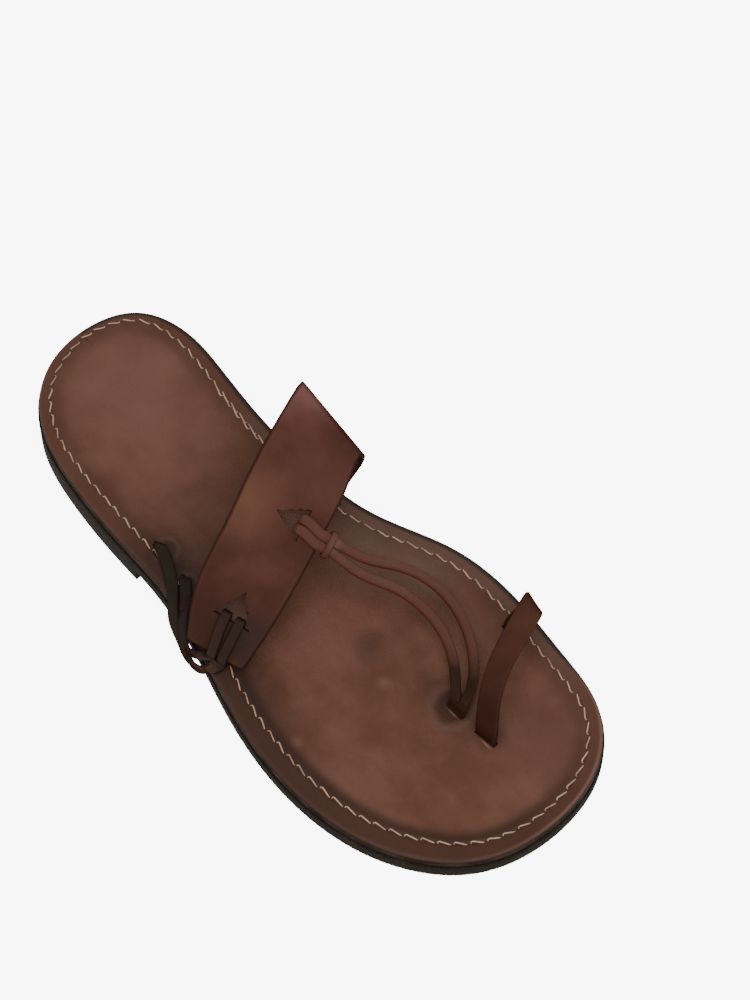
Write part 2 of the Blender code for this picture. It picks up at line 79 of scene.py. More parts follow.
room = bpy.data.worlds.new("white room")
room.use_nodes = True
room.node_tree.nodes["Background"].inputs["Color"].default_value = (1.0, 1.0, 1.0, 1.0)
room.node_tree.nodes["Background"].inputs["Strength"].default_value = 1.0
bpy.context.scene.world = room

bpy.ops.object.light_add(type="AREA", location=SOFT_BOX_PLACE, rotation=SOFT_BOX_TURN)
soft_box = bpy.context.object
soft_box.name = "soft box"
soft_box.data.shape = "SQUARE"
soft_box.data.size = SOFT_BOX_WIDE
soft_box.data.energy = SOFT_BOX_POWER

level = math.cos(ELEVATION)
back = Vector((math.sin(AZIMUTH) * level, -math.cos(AZIMUTH) * level, math.sin(ELEVATION)))
bpy.ops.object.camera_add(location=AIM + back * DISTANCE, rotation=(math.pi / 2 - ELEVATION, 0.0, AZIMUTH))
camera = bpy.context.object
camera.data.sensor_fit = "VERTICAL"
camera.data.sensor_height = PICTURE_HEIGHT
camera.data.lens = LENS_TO_PICTURE * PICTURE_HEIGHT
camera.data.clip_start = 0.01
bpy.context.scene.camera = camera

# ---- Heel lift ----
# A block of black crumb rubber under the heel, cut to the sole's outline and straight across in front.
# Its underside has fine ribs across, as sheet soling has, and its edge is sanded.
MM = 0.001
LIFT = 6.2 * MM
LIFT_FRONT = -43.71 * MM
LOWER_EDGE_RADIUS = 0.35 * MM
LIFT_TOP_RINGS = (0.4,)             # steps inwards over the top and the underside, mm
UNDER_RINGS = (0.25, 0.35, 0.6)
RIB_PITCH = 3.7 * MM
RIB_DEPTH = 0.6 * MM
RIB_GAP = 0.9 * MM
RIB_TAPER = 0.6                     # width of a gap's bottom, of its mouth
RIB_ACROSS = 160 * MM               # past both sides of the sole
SHARP = math.radians(35.0)          # edges sharper than this stay sharp
SPANS = 5                           # steps between two corners of the outline
CRUMB = 0.9 * MM
RUBBER_DARK = (0.0085, 0.0065, 0.0045, 1.0)
RUBBER_PALE = (0.028, 0.021, 0.015, 1.0)


def add(tree, kind, inputs=None, **settings):
    """A shader node with its settings, its inputs set or linked."""
    made = tree.nodes.new(kind)
    for name, value in settings.items():
        setattr(made, name, value)
    for name, value in (inputs or {}).items():
        if isinstance(value, bpy.types.NodeSocket):
            tree.links.new(value, made.inputs[name])
        else:
            made.inputs[name].default_value = value
    return made


def mix(tree, mask, first, second):
    """The colour between two, by a mask."""
    made = add(tree, "ShaderNodeMix", {0: mask, 6: first, 7: second}, data_type="RGBA")
    return made.outputs[2]


def sums(tree, operation, first, second=0.0, third=0.0):
    """One value out of others."""
    return add(tree, "ShaderNodeMath", {0: first, 1: second, 2: third}, operation=operation).outputs[0]


def ranged(tree, value, low, high, to_low=0.0, to_high=1.0):
    """A value taken smoothly from one range to another."""
    inputs = {"Value": value, "From Min": low, "From Max": high, "To Min": to_low, "To Max": to_high}
    return add(tree, "ShaderNodeMapRange", inputs, interpolation_type="SMOOTHSTEP").outputs["Result"]


def noise(tree, place, scale, detail, roughness=0.5):
    """Soft noise over a piece."""
    inputs = {"Vector": place, "Scale": scale, "Detail": detail, "Roughness": roughness}
    return add(tree, "ShaderNodeTexNoise", inputs).outputs["Fac"]


def bumped(tree, height, strength, distance, under=None):
    """The surface's direction over small heights, on top of another bump where there is one."""
    inputs = {"Height": height, "Strength": strength, "Distance": distance}
    if under is not None:
        inputs["Normal"] = under
    return add(tree, "ShaderNodeBump", inputs).outputs["Normal"]


def new_finish(name):
    """A material with its shader, and where the surface lies in the sandal."""
    finish = bpy.data.materials.new(name)
    finish.use_nodes = True
    tree = finish.node_tree
    place = add(tree, "ShaderNodeTexCoord").outputs["Object"]
    return finish, tree, tree.nodes["Principled BSDF"], place


def new_group(name, takes, gives):
    """An empty node group with named inputs and outputs, and its two ends."""
    group = bpy.data.node_groups.new(name, "ShaderNodeTree")
    for socket, kind in takes:
        group.interface.new_socket(socket, in_out="INPUT", socket_type=kind)
    for socket in gives:
        group.interface.new_socket(socket, in_out="OUTPUT", socket_type="NodeSocketFloat")
    return group, add(group, "NodeGroupInput").outputs, add(group, "NodeGroupOutput").inputs


def round_line(corners, spans):
    """A closed smooth line through the corners."""
    before, after, beyond = (np.roll(corners, step, axis=0) for step in (1, -1, -2))
    rows = []
    for k in range(spans):
        t = k / spans
        rows.append(corners + 0.5 * (after - before) * t
                    + (before - 2.5 * corners + 2 * after - 0.5 * beyond) * t ** 2
                    + (1.5 * corners - 0.5 * before - 1.5 * after + 0.5 * beyond) * t ** 3)
    return np.stack(rows, axis=1).reshape(-1, corners.shape[1])


def sole_line():
    """The rubber sole's outline, from the back of the heel by the medial side."""
    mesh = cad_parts["outsole"].data
    walls = [face for face in mesh.polygons if abs(face.normal.z) < 0.05]
    corners = {tuple(round(c, 6) for c in mesh.vertices[i].co[:2]) for face in walls for i in face.vertices}
    corners = np.array(sorted(corners, key=lambda p: math.atan2(-p[0], -p[1]) % math.tau))
    return round_line(np.roll(corners, -int(np.argmin(corners[:, 1])), axis=0), SPANS)


def underside(node):
    """Height of a sole layer's underside along the sandal, as a function of y."""
    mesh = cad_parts[node].data
    under = [face for face in mesh.polygons if face.normal.z < -0.9]
    places = sorted({tuple(mesh.vertices[i].co[1:]) for face in under for i in face.vertices})
    along, heights = np.array(places).T
    return lambda y: np.interp(y, along, heights)


def strips_across(sheet, ring, cuts):
    """Closes a ring of the sheet with strips from its medial to its lateral side."""
    middle = sum((sheet.data.vertices[i].co for i in ring), Vector()) / len(ring)
    arms = {i: sheet.data.vertices[i].co - middle for i in ring}
    order = sorted(ring, key=lambda i: math.atan2(-arms[i].x, -arms[i].y) % math.tau)
    half = len(order) // 2
    sides = [set(order[1:half]), set(order[half + 1:])]
    bpy.context.tool_settings.mesh_select_mode = (False, True, False)
    sheet.data.vertices.foreach_set("select", [False] * len(sheet.data.vertices))
    sheet.data.polygons.foreach_set("select", [False] * len(sheet.data.polygons))
    for edge in sheet.data.edges:
        edge.select = any(edge.vertices[0] in side and edge.vertices[1] in side for side in sides)
    bpy.ops.object.mode_set(mode="EDIT")
    bpy.ops.mesh.bridge_edge_loops(number_cuts=cuts, interpolation="LINEAR")
    bpy.ops.mesh.select_all(action="DESELECT")
    bpy.ops.mesh.select_non_manifold(
        use_wire=False, use_multi_face=False, use_non_contiguous=False, use_verts=False)
    bpy.ops.mesh.fill_holes(sides=4 * cuts + 12)
    bpy.ops.object.mode_set(mode="OBJECT")


def sole_layer(name, line, top_steps, under_steps, cuts):
    """A closed layer of the sole's outline, one unit thick, with rings inwards over its top and underside."""
    bpy.ops.object.select_all(action="DESELECT")
    bpy.context.tool_settings.mesh_select_mode = (False, False, True)
    bpy.ops.mesh.primitive_circle_add(vertices=len(line), fill_type="NGON")
    layer = bpy.context.object
    layer.name = name
    for vertex, (x, y) in zip(layer.data.vertices, line):
        vertex.co = (x, y, 0.0)
    bpy.ops.object.mode_set(mode="EDIT")
    bpy.ops.mesh.select_all(action="SELECT")
    bpy.ops.mesh.extrude_region_move(TRANSFORM_OT_translate={"value": (0.0, 0.0, 1.0)})
    bpy.ops.mesh.select_all(action="SELECT")
    bpy.ops.mesh.normals_make_consistent(inside=False)
    bpy.ops.mesh.select_all(action="DESELECT")
    bpy.ops.object.mode_set(mode="OBJECT")
    for side, steps in ((1.0, top_steps), (-1.0, under_steps)):
        bpy.context.tool_settings.mesh_select_mode = (False, False, True)
        for face in layer.data.polygons:
            face.select = len(face.vertices) == len(line) and face.normal.z * side > 0.9
        bpy.ops.object.mode_set(mode="EDIT")
        for step in steps:
            bpy.ops.mesh.inset(thickness=step * MM, depth=0.0)
        bpy.ops.object.mode_set(mode="OBJECT")
        ring = [vertex.index for vertex in layer.data.vertices if vertex.select]
        bpy.ops.object.mode_set(mode="EDIT")
        bpy.ops.mesh.delete(type="ONLY_FACE")
        bpy.ops.object.mode_set(mode="OBJECT")
        strips_across(layer, ring, cuts)
    return layer


def inside_edge(layer, line):
    """How far each corner of a layer lies inside its outline, and which point of the outline is nearest."""
    tree = KDTree(len(line))
    for k, (x, y) in enumerate(line):
        tree.insert((x, y, 0.0), k)
    tree.balance()
    depths = []
    nearest = []
    for vertex in layer.data.vertices:
        flat = np.array(vertex.co[:2])
        k = tree.find((flat[0], flat[1], 0.0))[1]
        spans = ((line[k - 1], line[k]), (line[k], line[(k + 1) % len(line)]))
        best = (1.0, 0.0)
        for share_start, (start, end) in zip((k - 1, k), spans):
            way = end - start
            share = float(np.clip((flat - start).dot(way) / way.dot(way), 0.0, 1.0))
            best = min(best, (float(np.linalg.norm(flat - start - way * share)), share_start + share))
        depths.append(best[0])
        nearest.append(best[1])
    return np.array(depths), np.array(nearest)


def shoulder(depth, radius):
    """How far a rounded edge falls at a depth inside the outline."""
    short = np.clip(radius - depth, 0.0, radius)
    return radius - np.sqrt(radius ** 2 - short ** 2)


def set_heights(layer, depth, top, under):
    """Gives a flat layer its real heights."""
    for k, vertex in enumerate(layer.data.vertices):
        height = top if vertex.co.z > 0.5 else under
        vertex.co.z = height(vertex.co.y, depth[k])


def cut_ribs(piece, under, first, last):
    """Cuts the gaps between the tread's ribs across a sole layer."""
    bpy.ops.object.select_all(action="DESELECT")
    bpy.ops.mesh.primitive_cube_add(
        size=1.0, location=(0.0, first, 0.0), scale=(RIB_ACROSS, RIB_GAP, 2 * RIB_DEPTH))
    gaps = bpy.context.object
    bpy.ops.object.transform_apply(location=True, rotation=True, scale=True)
    for vertex in gaps.data.vertices:
        if vertex.co.z > 0:
            vertex.co.y = first + (vertex.co.y - first) * RIB_TAPER
    row = gaps.modifiers.new("row", "ARRAY")
    row.use_relative_offset = False
    row.use_constant_offset = True
    row.constant_offset_displace = (0.0, RIB_PITCH, 0.0)
    row.count = int((last - first) / RIB_PITCH) + 1
    bpy.ops.object.modifier_apply(modifier=row.name)
    for vertex in gaps.data.vertices:
        middle = first + round((vertex.co.y - first) / RIB_PITCH) * RIB_PITCH
        vertex.co.z += under(middle)
    cut = piece.modifiers.new("ribs", "BOOLEAN")
    cut.operation = "DIFFERENCE"
    cut.solver = "EXACT"
    cut.object = gaps
    bpy.ops.object.select_all(action="DESELECT")
    bpy.context.view_layer.objects.active = piece
    piece.select_set(True)
    bpy.ops.object.modifier_apply(modifier=cut.name)
    bpy.data.objects.remove(gaps, do_unlink=True)


rubber_edge = sole_line()
lift = sole_layer("heel_block", rubber_edge, LIFT_TOP_RINGS, UNDER_RINGS, cuts=4)
lift_depth, _ = inside_edge(lift, rubber_edge)
set_heights(lift, lift_depth, lambda y, depth: LIFT, lambda y, depth: shoulder(depth, LOWER_EDGE_RADIUS))
bpy.ops.object.mode_set(mode="EDIT")
bpy.ops.mesh.select_all(action="SELECT")
bpy.ops.mesh.bisect(
    plane_co=(0.0, LIFT_FRONT, 0.0), plane_no=(0.0, 1.0, 0.0), use_fill=True, clear_outer=True)
bpy.ops.object.mode_set(mode="OBJECT")
cut_ribs(lift, lambda y: 0.0, rubber_edge[:, 1].min() + RIB_PITCH, LIFT_FRONT - RIB_PITCH)
bpy.ops.object.shade_smooth_by_angle(angle=SHARP)

# Crumb rubber: a dull speckle over black, paler where the edge is sanded and scuffed.
crumb, crumb_in, crumb_out = new_group(
    "rubber crumb", (("Position", "NodeSocketVector"), ("Crumb Size", "NodeSocketFloat")),
    ("Speckle", "Scuff", "Height"))
crumb_scale = sums(crumb, "DIVIDE", 1.0, crumb_in["Crumb Size"])
crumb_cells = add(crumb, "ShaderNodeTexVoronoi", {"Vector": crumb_in["Position"], "Scale": crumb_scale})
crumb_noise = noise(crumb, crumb_in["Position"], 900.0, 3.0)
scuffs = noise(crumb, crumb_in["Position"], 90.0, 4.0, 0.7)
crumb.links.new(ranged(crumb, crumb_cells.outputs["Distance"], 0.1, 0.7), crumb_out["Speckle"])
crumb.links.new(ranged(crumb, scuffs, 0.52, 0.75), crumb_out["Scuff"])
crumb.links.new(sums(crumb, "ADD", crumb_cells.outputs["Distance"], crumb_noise), crumb_out["Height"])


def rubber(name):
    """Dull black crumb rubber."""
    finish, tree, shader, place = new_finish(name)
    grain = add(tree, "ShaderNodeGroup", node_tree=crumb)
    tree.links.new(place, grain.inputs["Position"])
    grain.inputs["Crumb Size"].default_value = CRUMB
    speckled = sums(tree, "MULTIPLY", grain.outputs["Speckle"], 0.35)
    paled = sums(tree, "MULTIPLY_ADD", grain.outputs["Scuff"], 0.6, speckled)
    tree.links.new(mix(tree, paled, RUBBER_DARK, RUBBER_PALE), shader.inputs["Base Color"])
    tree.links.new(ranged(tree, paled, 0.0, 1.0, 0.62, 0.85), shader.inputs["Roughness"])
    shader.inputs["Specular IOR Level"].default_value = 0.015
    tree.links.new(bumped(tree, grain.outputs["Height"], 0.35, 0.2 * MM), shader.inputs["Normal"])
    return finish


lift.data.materials.append(rubber("heel lift rubber"))
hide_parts("heel_lift")
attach(lift, "root")

# ---- Outsole ----
# A sheet of the same black rubber under the whole insole, glued on and sewn through, a little wider than the
# leather. It comes down from the heel through the arch, lies flat under the ball and turns up at the toe.
OUTSOLE = 5.8 * MM
UPPER_EDGE_RADIUS = 0.7 * MM
OUTSOLE_TOP_RINGS = (0.25, 0.45, 2.0)

sole_foot = underside("outsole")
outsole = sole_layer("rubber_outsole", rubber_edge, OUTSOLE_TOP_RINGS, UNDER_RINGS, cuts=7)
sole_depth, _ = inside_edge(outsole, rubber_edge)
set_heights(
    outsole, sole_depth,
    lambda y, depth: sole_foot(y) + OUTSOLE - shoulder(depth, UPPER_EDGE_RADIUS),
    lambda y, depth: sole_foot(y) + (shoulder(depth, LOWER_EDGE_RADIUS) if y > LIFT_FRONT else 0.0))
cut_ribs(outsole, sole_foot, LIFT_FRONT + 2 * RIB_PITCH, rubber_edge[:, 1].max() - 0.5 * RIB_PITCH)
bpy.ops.object.shade_smooth_by_angle(angle=SHARP)
outsole.data.materials.append(rubber("outsole rubber"))
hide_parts("outsole")
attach(outsole, "root")

# ---- Insole ----
# One thick piece of oiled vegetable-tanned leather that the foot stands on, its edge rounded and painted.
# The straps pass down through slits cut in it, and wear has pressed and polished it inside the seam.
INSOLE = 3.8 * MM
WELT = 0.7 * MM                     # the rubber stands out past the leather by this
EDGE_RADIUS = 1.6 * MM
EDGE_FALL = 0.85                    # how far the rounding falls, of a quarter circle
INSOLE_LOWER_RADIUS = 0.5 * MM
# Steps inwards over the top, mm: close together on the shoulder and in the seam's groove.
INSOLE_TOP_RINGS = (
    0.15, 0.2, 0.25, 0.35, 0.45, 0.6, 0.9, 1.1, 0.8, 0.4, 0.35, 0.3, 0.3, 0.35, 0.4,
    0.8, 1.0, 1.3, 1.8, 2.5, 3.5)
INSOLE_UNDER_RINGS = (0.5,)

# The seam's groove, and the rim and the long slope of the hollow pressed inside it: depths and places, mm.
SEAM_MARGIN = 6.0
GROOVE_DEEP = 0.35
GROOVE_WIDE = 0.5
RIM_DEEP = 0.45
RIM_FROM, RIM_TO = 6.8, 10.3
HOLLOW_DEEP = 0.55
HOLLOW_FROM, HOLLOW_TO = 9.0, 39.0

# How far the seam really lies inside the edge, mm, by the share of the way round the outline, from the back
# of the heel by the medial side.
SEAM_PLACES = (
    (0.00, 3.2), (0.022, 3.6), (0.035, 4.0), (0.05, 4.7), (0.07, 5.6), (0.09, 5.9), (0.15, 6.1), (0.28, 6.2),
    (0.33, 6.6), (0.39, 6.3), (0.43, 5.4), (0.49, 6.0), (0.53, 7.0), (0.57, 7.9), (0.63, 7.7), (0.69, 7.3),
    (0.735, 6.9), (0.78, 7.0), (0.86, 6.8), (0.91, 5.0), (0.945, 4.2), (0.978, 4.1), (1.00, 3.2),
)

SLIT_SHARP = math.radians(40.0)

# Slits: middle x and y, length and width, mm, and turn from along the sandal, degrees.
SLITS = (
    ("instep strap", -28.7, -31.2, 36.0, 3.7, 4.1),
    ("side lace rear", 31.8, -41.2, 5.0, 2.2, -2.0),
    ("side lace front", 32.8, -24.7, 5.0, 2.2, -3.0),
    ("front lace", -8.8, 77.5, 8.1, 1.9, 2.0),
    ("toe loop lateral", -9.9, 92.7, 9.5, 2.2, 6.0),
    ("toe loop medial", -44.9, 67.9, 9.5, 2.2, -3.0),
)


def inward(line):
    """Unit vectors from the outline into the sole."""
    along = np.roll(line, -1, axis=0) - np.roll(line, 1, axis=0)
    return np.stack([along[:, 1], -along[:, 0]], axis=1) / np.linalg.norm(along, axis=1)[:, None]


leather_edge = rubber_edge + inward(rubber_edge) * WELT
insole_foot = underside("insole")
insole = sole_layer("leather_insole", leather_edge, INSOLE_TOP_RINGS, INSOLE_UNDER_RINGS, cuts=28)
depth, nearest = inside_edge(insole, leather_edge)
steps = np.linalg.norm(np.roll(leather_edge, -1, axis=0) - leather_edge, axis=1)
walked = np.concatenate([[0.0], np.cumsum(steps)])
around = np.interp(nearest % len(leather_edge), np.arange(len(leather_edge) + 1), walked) / walked[-1]


def eased(value, low, high):
    """How far a value has come from low to high, starting and ending softly."""
    share = np.clip((value - low) / (high - low), 0.0, 1.0)
    return share ** 2 * (3 - 2 * share)


def footbed(y, depth_mm):
    """Height of the footbed: a rounded edge, a groove for the seam, and a pressed hollow inside it."""
    groove = GROOVE_DEEP * np.exp(-((depth_mm - SEAM_MARGIN) / GROOVE_WIDE) ** 2)
    rim = RIM_DEEP * eased(depth_mm, RIM_FROM, RIM_TO)
    hollow = HOLLOW_DEEP * eased(depth_mm, HOLLOW_FROM, HOLLOW_TO)
    fall = EDGE_FALL * shoulder(depth_mm * MM, EDGE_RADIUS)
    return insole_foot(y) + INSOLE - fall - (groove + rim + hollow) * MM


# The rings of the top are moved so that the groove lies under the seam, and the edge and the middle stay.
share, margins = np.array(SEAM_PLACES).T
for k, vertex in enumerate(insole.data.vertices):
    on_top = vertex.co.z > 0.5
    here = Vector(vertex.co[:2])
    at = nearest[k] % len(leather_edge)
    corner, following = leather_edge[int(at)], leather_edge[(int(at) + 1) % len(leather_edge)]
    edge_point = corner * (1 - at % 1) + following * (at % 1)
    inside_mm = depth[k] / MM
    if on_top and inside_mm > 0.01:
        moved = np.interp(around[k], share, margins) - SEAM_MARGIN
        moved *= np.interp(inside_mm, (0.0, 1.6, SEAM_MARGIN, 9.0, 20.0), (0.0, 0.0, 1.0, 1.0, 0.0))
        here += (here - Vector(edge_point)).normalized() * moved * MM
    if on_top:
        height = footbed(here.y, inside_mm)
    else:
        height = insole_foot(here.y) + shoulder(depth[k], INSOLE_LOWER_RADIUS)
    vertex.co = (here.x, here.y, height)
insole_marks = insole.data.attributes.new("inside", "FLOAT", "POINT")
insole_marks.data.foreach_set("value", depth / MM)
round_marks = insole.data.attributes.new("around", "FLOAT", "POINT")
round_marks.data.foreach_set("value", around)

for name, x, y, long, wide, turn in SLITS:
    bpy.ops.object.select_all(action="DESELECT")
    bpy.ops.mesh.primitive_cube_add(
        size=1.0, location=(x * MM, y * MM, insole_foot(y * MM)), rotation=(0.0, 0.0, math.radians(turn)),
        scale=(wide * MM, long * MM, 3 * INSOLE))
    knife = bpy.context.object
    slit = insole.modifiers.new(name, "BOOLEAN")
    slit.operation = "DIFFERENCE"
    slit.solver = "EXACT"
    slit.object = knife
    bpy.context.view_layer.objects.active = insole
    bpy.ops.object.modifier_apply(modifier=slit.name)
    bpy.data.objects.remove(knife, do_unlink=True)
bpy.ops.object.select_all(action="DESELECT")
insole.select_set(True)
bpy.context.view_layer.objects.active = insole
bpy.ops.object.shade_smooth_by_angle(angle=SLIT_SHARP)


def moved_by(tree, operation, first, second):
    """One place or direction out of others; a scale takes a plain number."""
    last = "Scale" if operation == "SCALE" else 1
    return add(tree, "ShaderNodeVectorMath", {0: first, last: second}, operation=operation).outputs[0]


# Grain of the hide: fine pores, shallow creases and a cloudy spread of dye, shared by every leather piece.
hide, hide_in, hide_out = new_group(
    "hide grain",
    (("Position", "NodeSocketVector"), ("Pore Size", "NodeSocketFloat"), ("Cloud Size", "NodeSocketFloat")),
    ("Clouds", "Streaks", "Height"))
hide_waver = add(hide, "ShaderNodeTexNoise", {"Vector": hide_in["Position"], "Scale": 260.0, "Detail": 2.0})
hide_shift = moved_by(hide, "SCALE", hide_waver.outputs["Color"], 1.4 * MM)
hide_place = moved_by(hide, "ADD", hide_in["Position"], hide_shift)
pore_scale = sums(hide, "DIVIDE", 1.0, hide_in["Pore Size"])
cloud_scale = sums(hide, "DIVIDE", 1.0, hide_in["Cloud Size"])
pores = add(
    hide, "ShaderNodeTexVoronoi", {"Vector": hide_place, "Scale": pore_scale}, feature="DISTANCE_TO_EDGE")
creases = noise(hide, hide_place, 420.0, 4.0, 0.6)
clouds = noise(hide, hide_place, cloud_scale, 5.0, 0.55)
stretched = add(hide, "ShaderNodeMapping", {"Vector": hide_place, "Scale": (1.0, 0.22, 1.0)})
streaks = noise(hide, stretched.outputs["Vector"], 230.0, 3.0)
pore_lines = ranged(hide, pores.outputs["Distance"], 0.0, 0.16)
hide_height = sums(hide, "MULTIPLY_ADD", pore_lines, 0.45, sums(hide, "MULTIPLY", creases, 0.9))
hide.links.new(ranged(hide, clouds, 0.34, 0.68), hide_out["Clouds"])
hide.links.new(ranged(hide, streaks, 0.35, 0.7), hide_out["Streaks"])
hide.links.new(hide_height, hide_out["Height"])

# A soft worn or stained patch round a place, with a ragged edge.
patch, patch_in, patch_out = new_group(
    "soft patch",
    (("Position", "NodeSocketVector"), ("Centre", "NodeSocketVector"), ("Stretch", "NodeSocketVector"),
     ("Reach", "NodeSocketFloat"), ("Raggedness", "NodeSocketFloat")), ("Mask",))
patch_noise = noise(patch, patch_in["Position"], 95.0, 4.0)
patch_offset = moved_by(patch, "SUBTRACT", patch_in["Position"], patch_in["Centre"])
patch_shape = moved_by(patch, "MULTIPLY", patch_offset, patch_in["Stretch"])
patch_far = add(patch, "ShaderNodeVectorMath", {0: patch_shape}, operation="LENGTH").outputs["Value"]
patch_share = sums(patch, "DIVIDE", patch_far, patch_in["Reach"])
patch_ragged = sums(patch, "MULTIPLY", sums(patch, "SUBTRACT", patch_noise, 0.5), patch_in["Raggedness"])
patch.links.new(ranged(patch, sums(patch, "ADD", patch_share, patch_ragged), 1.0, 0.0), patch_out["Mask"])


def soft_patch(tree, place, centre, reach, stretch=(1.0, 1.0, 1.0), ragged=0.6):
    """Mask of a soft patch; centre and reach in mm."""
    made = add(tree, "ShaderNodeGroup", node_tree=patch)
    tree.links.new(place, made.inputs["Position"])
    made.inputs["Centre"].default_value = [c * MM for c in centre]
    made.inputs["Stretch"].default_value = stretch
    made.inputs["Reach"].default_value = reach * MM
    made.inputs["Raggedness"].default_value = ragged
    return made.outputs["Mask"]


def hide_grain(tree, place, pore_size, cloud_size):
    """The hide's grain on one piece; sizes in mm."""
    made = add(tree, "ShaderNodeGroup", node_tree=hide)
    tree.links.new(place, made.inputs["Position"])
    made.inputs["Pore Size"].default_value = pore_size * MM
    made.inputs["Cloud Size"].default_value = cloud_size * MM
    return made.outputs


def faded(tree, mask, amount):
    """A weaker mask."""
    return sums(tree, "MULTIPLY", mask, amount)


def patched(tree, place, colour, patches):
    """A colour with soft patches over it: centre and reach in mm, stretch, amount and colour of each."""
    for centre, reach, stretch, amount, tone in patches:
        mask = soft_patch(tree, place, centre, reach, stretch)
        colour = mix(tree, faded(tree, mask, amount), colour, tone)
    return colour


def marks(tree, name):
    """The value that a piece's mesh carries under that name, or 0."""
    return add(tree, "ShaderNodeAttribute", attribute_name=name).outputs["Fac"]


FOOTBED_BROWN = (0.066, 0.0245, 0.0135, 1.0)
FOOTBED_TAN = (0.096, 0.040, 0.0255, 1.0)
FOOTBED_WORN = (0.112, 0.050, 0.036, 1.0)
FOOTBED_LIT = (0.150, 0.085, 0.064, 1.0)
LIP_HIGHLIGHT = (0.26, 0.17, 0.13, 1.0)
FOOTBED_DEEP = (0.020, 0.008, 0.005, 1.0)
FOOTBED_SHEEN_GREY = (0.088, 0.052, 0.039, 1.0)
EDGE_DYE = (0.009, 0.005, 0.0035, 1.0)
EDGE_POLISH_HIGHLIGHT = (0.105, 0.050, 0.036, 1.0)
EDGE_RUBBED = (0.024, 0.011, 0.008, 1.0)
EVEN = (1.0, 1.0, 1.0)              # a patch as wide along as across
PAINTED = 0.3                       # faces nearer the edge than this, mm, carry the edge paint

finish, tree, shader, place = new_finish("footbed leather")
grain = hide_grain(tree, place, pore_size=0.85, cloud_size=24.0)
inside = marks(tree, "inside")
colour = mix(tree, grain["Clouds"], FOOTBED_BROWN, FOOTBED_TAN)
colour = mix(tree, faded(tree, grain["Streaks"], 0.25), colour, FOOTBED_BROWN)

# Worn pale where the heel, the ball and the toes press, with two rubbed specks, and greyed towards the arch
# by a painted sheen.
colour = patched(tree, place, colour, (
    ((-4, -100, 14), 42, (1.0, 0.75, 1.0), 0.75, FOOTBED_WORN),
    ((10, 26, 9), 26, EVEN, 0.35, FOOTBED_WORN),
    ((-20, 108, 10), 34, EVEN, 0.35, FOOTBED_WORN),
    ((3.3, 52, 9), 4.5, EVEN, 0.3, FOOTBED_LIT),
    ((43, 49.8, 9), 4.0, EVEN, 0.3, FOOTBED_LIT),
    ((-26, 4, 14), 26, EVEN, 0.7, FOOTBED_SHEEN_GREY),
    ((-40, 26, 13), 22, EVEN, 0.7, FOOTBED_SHEEN_GREY)))

# Darker along the seam, more so on the lateral side, and in patches by the strap's lateral foot, over the
# lateral forefoot and round the slits.
round_place = marks(tree, "around")
lateral = sums(tree, "MULTIPLY", ranged(tree, round_place, 0.43, 0.53), ranged(tree, round_place, 0.86, 0.74))
seam_dark = sums(tree, "MULTIPLY", ranged(tree, inside, 5.2, 6.6), ranged(tree, inside, 13.5, 7.4))
seam_dark = sums(tree, "MULTIPLY", seam_dark, sums(tree, "MULTIPLY_ADD", lateral, 0.45, 0.35))
colour = mix(tree, seam_dark, colour, FOOTBED_DEEP)
colour = patched(tree, place, colour, (
    ((20, -30, 14), 30, (1.0, 0.7, 1.0), 0.4, FOOTBED_DEEP),
    ((33, -34, 14), 16, (1.2, 0.6, 1.0), 0.9, FOOTBED_DEEP),
    ((44, 20, 10), 30, (1.6, 0.8, 1.0), 0.85, FOOTBED_DEEP),
    ((56, 60, 10), 40, (2.4, 0.7, 1.0), 0.8, FOOTBED_DEEP),
    ((-2.5, 37.6, 10), 10, EVEN, 0.5, FOOTBED_DEEP),
    ((-9, 74, 10), 15, (1.2, 0.8, 1.0), 0.8, FOOTBED_DEEP),
    ((-12, 91, 10), 9, (1.0, 0.8, 1.0), 0.6, FOOTBED_DEEP)))

# Painted light: paler below the strap's two holes, so that the footbed seen through them looks lit under the
# strap.
colour = patched(tree, place, colour, (
    ((-13.3, -19.4, 14), 12, EVEN, 0.8, FOOTBED_LIT),
    ((27.8, -2.9, 14), 12, EVEN, 0.8, FOOTBED_LIT)))

# Painted highlight: the cut lips of the lace's and the loop's slits are painted paler on their lateral side.
for centre, reach in (((-7.3, 77.6, 0), 4.4), ((-8.1, 94.6, 0), 3.6)):
    lit_lip = soft_patch(tree, place, centre, reach, (6.0, 1.0, 0.0), 0.15)
    colour = mix(tree, faded(tree, lit_lip, 0.45), colour, LIP_HIGHLIGHT)

# The laces have pulled up a soft lip round their slits, rubbed pale on its crest and soiled inside it.
lips = 0.0
for centre, reach in (((30.0, -39.4, 15), 4.7), ((32.6, -23.7, 15), 4.0), ((-9.7, 75.0, 11), 8.6)):
    near = soft_patch(tree, place, centre, 2 * reach, ragged=0.35)
    lip = sums(tree, "MULTIPLY", ranged(tree, near, 0.22, 0.5), ranged(tree, near, 0.8, 0.52))
    lips = sums(tree, "ADD", lip, lips)
    colour = mix(tree, faded(tree, ranged(tree, near, 0.55, 0.8), 0.45), colour, FOOTBED_DEEP)
colour = mix(tree, faded(tree, lips, 0.13), colour, FOOTBED_LIT)
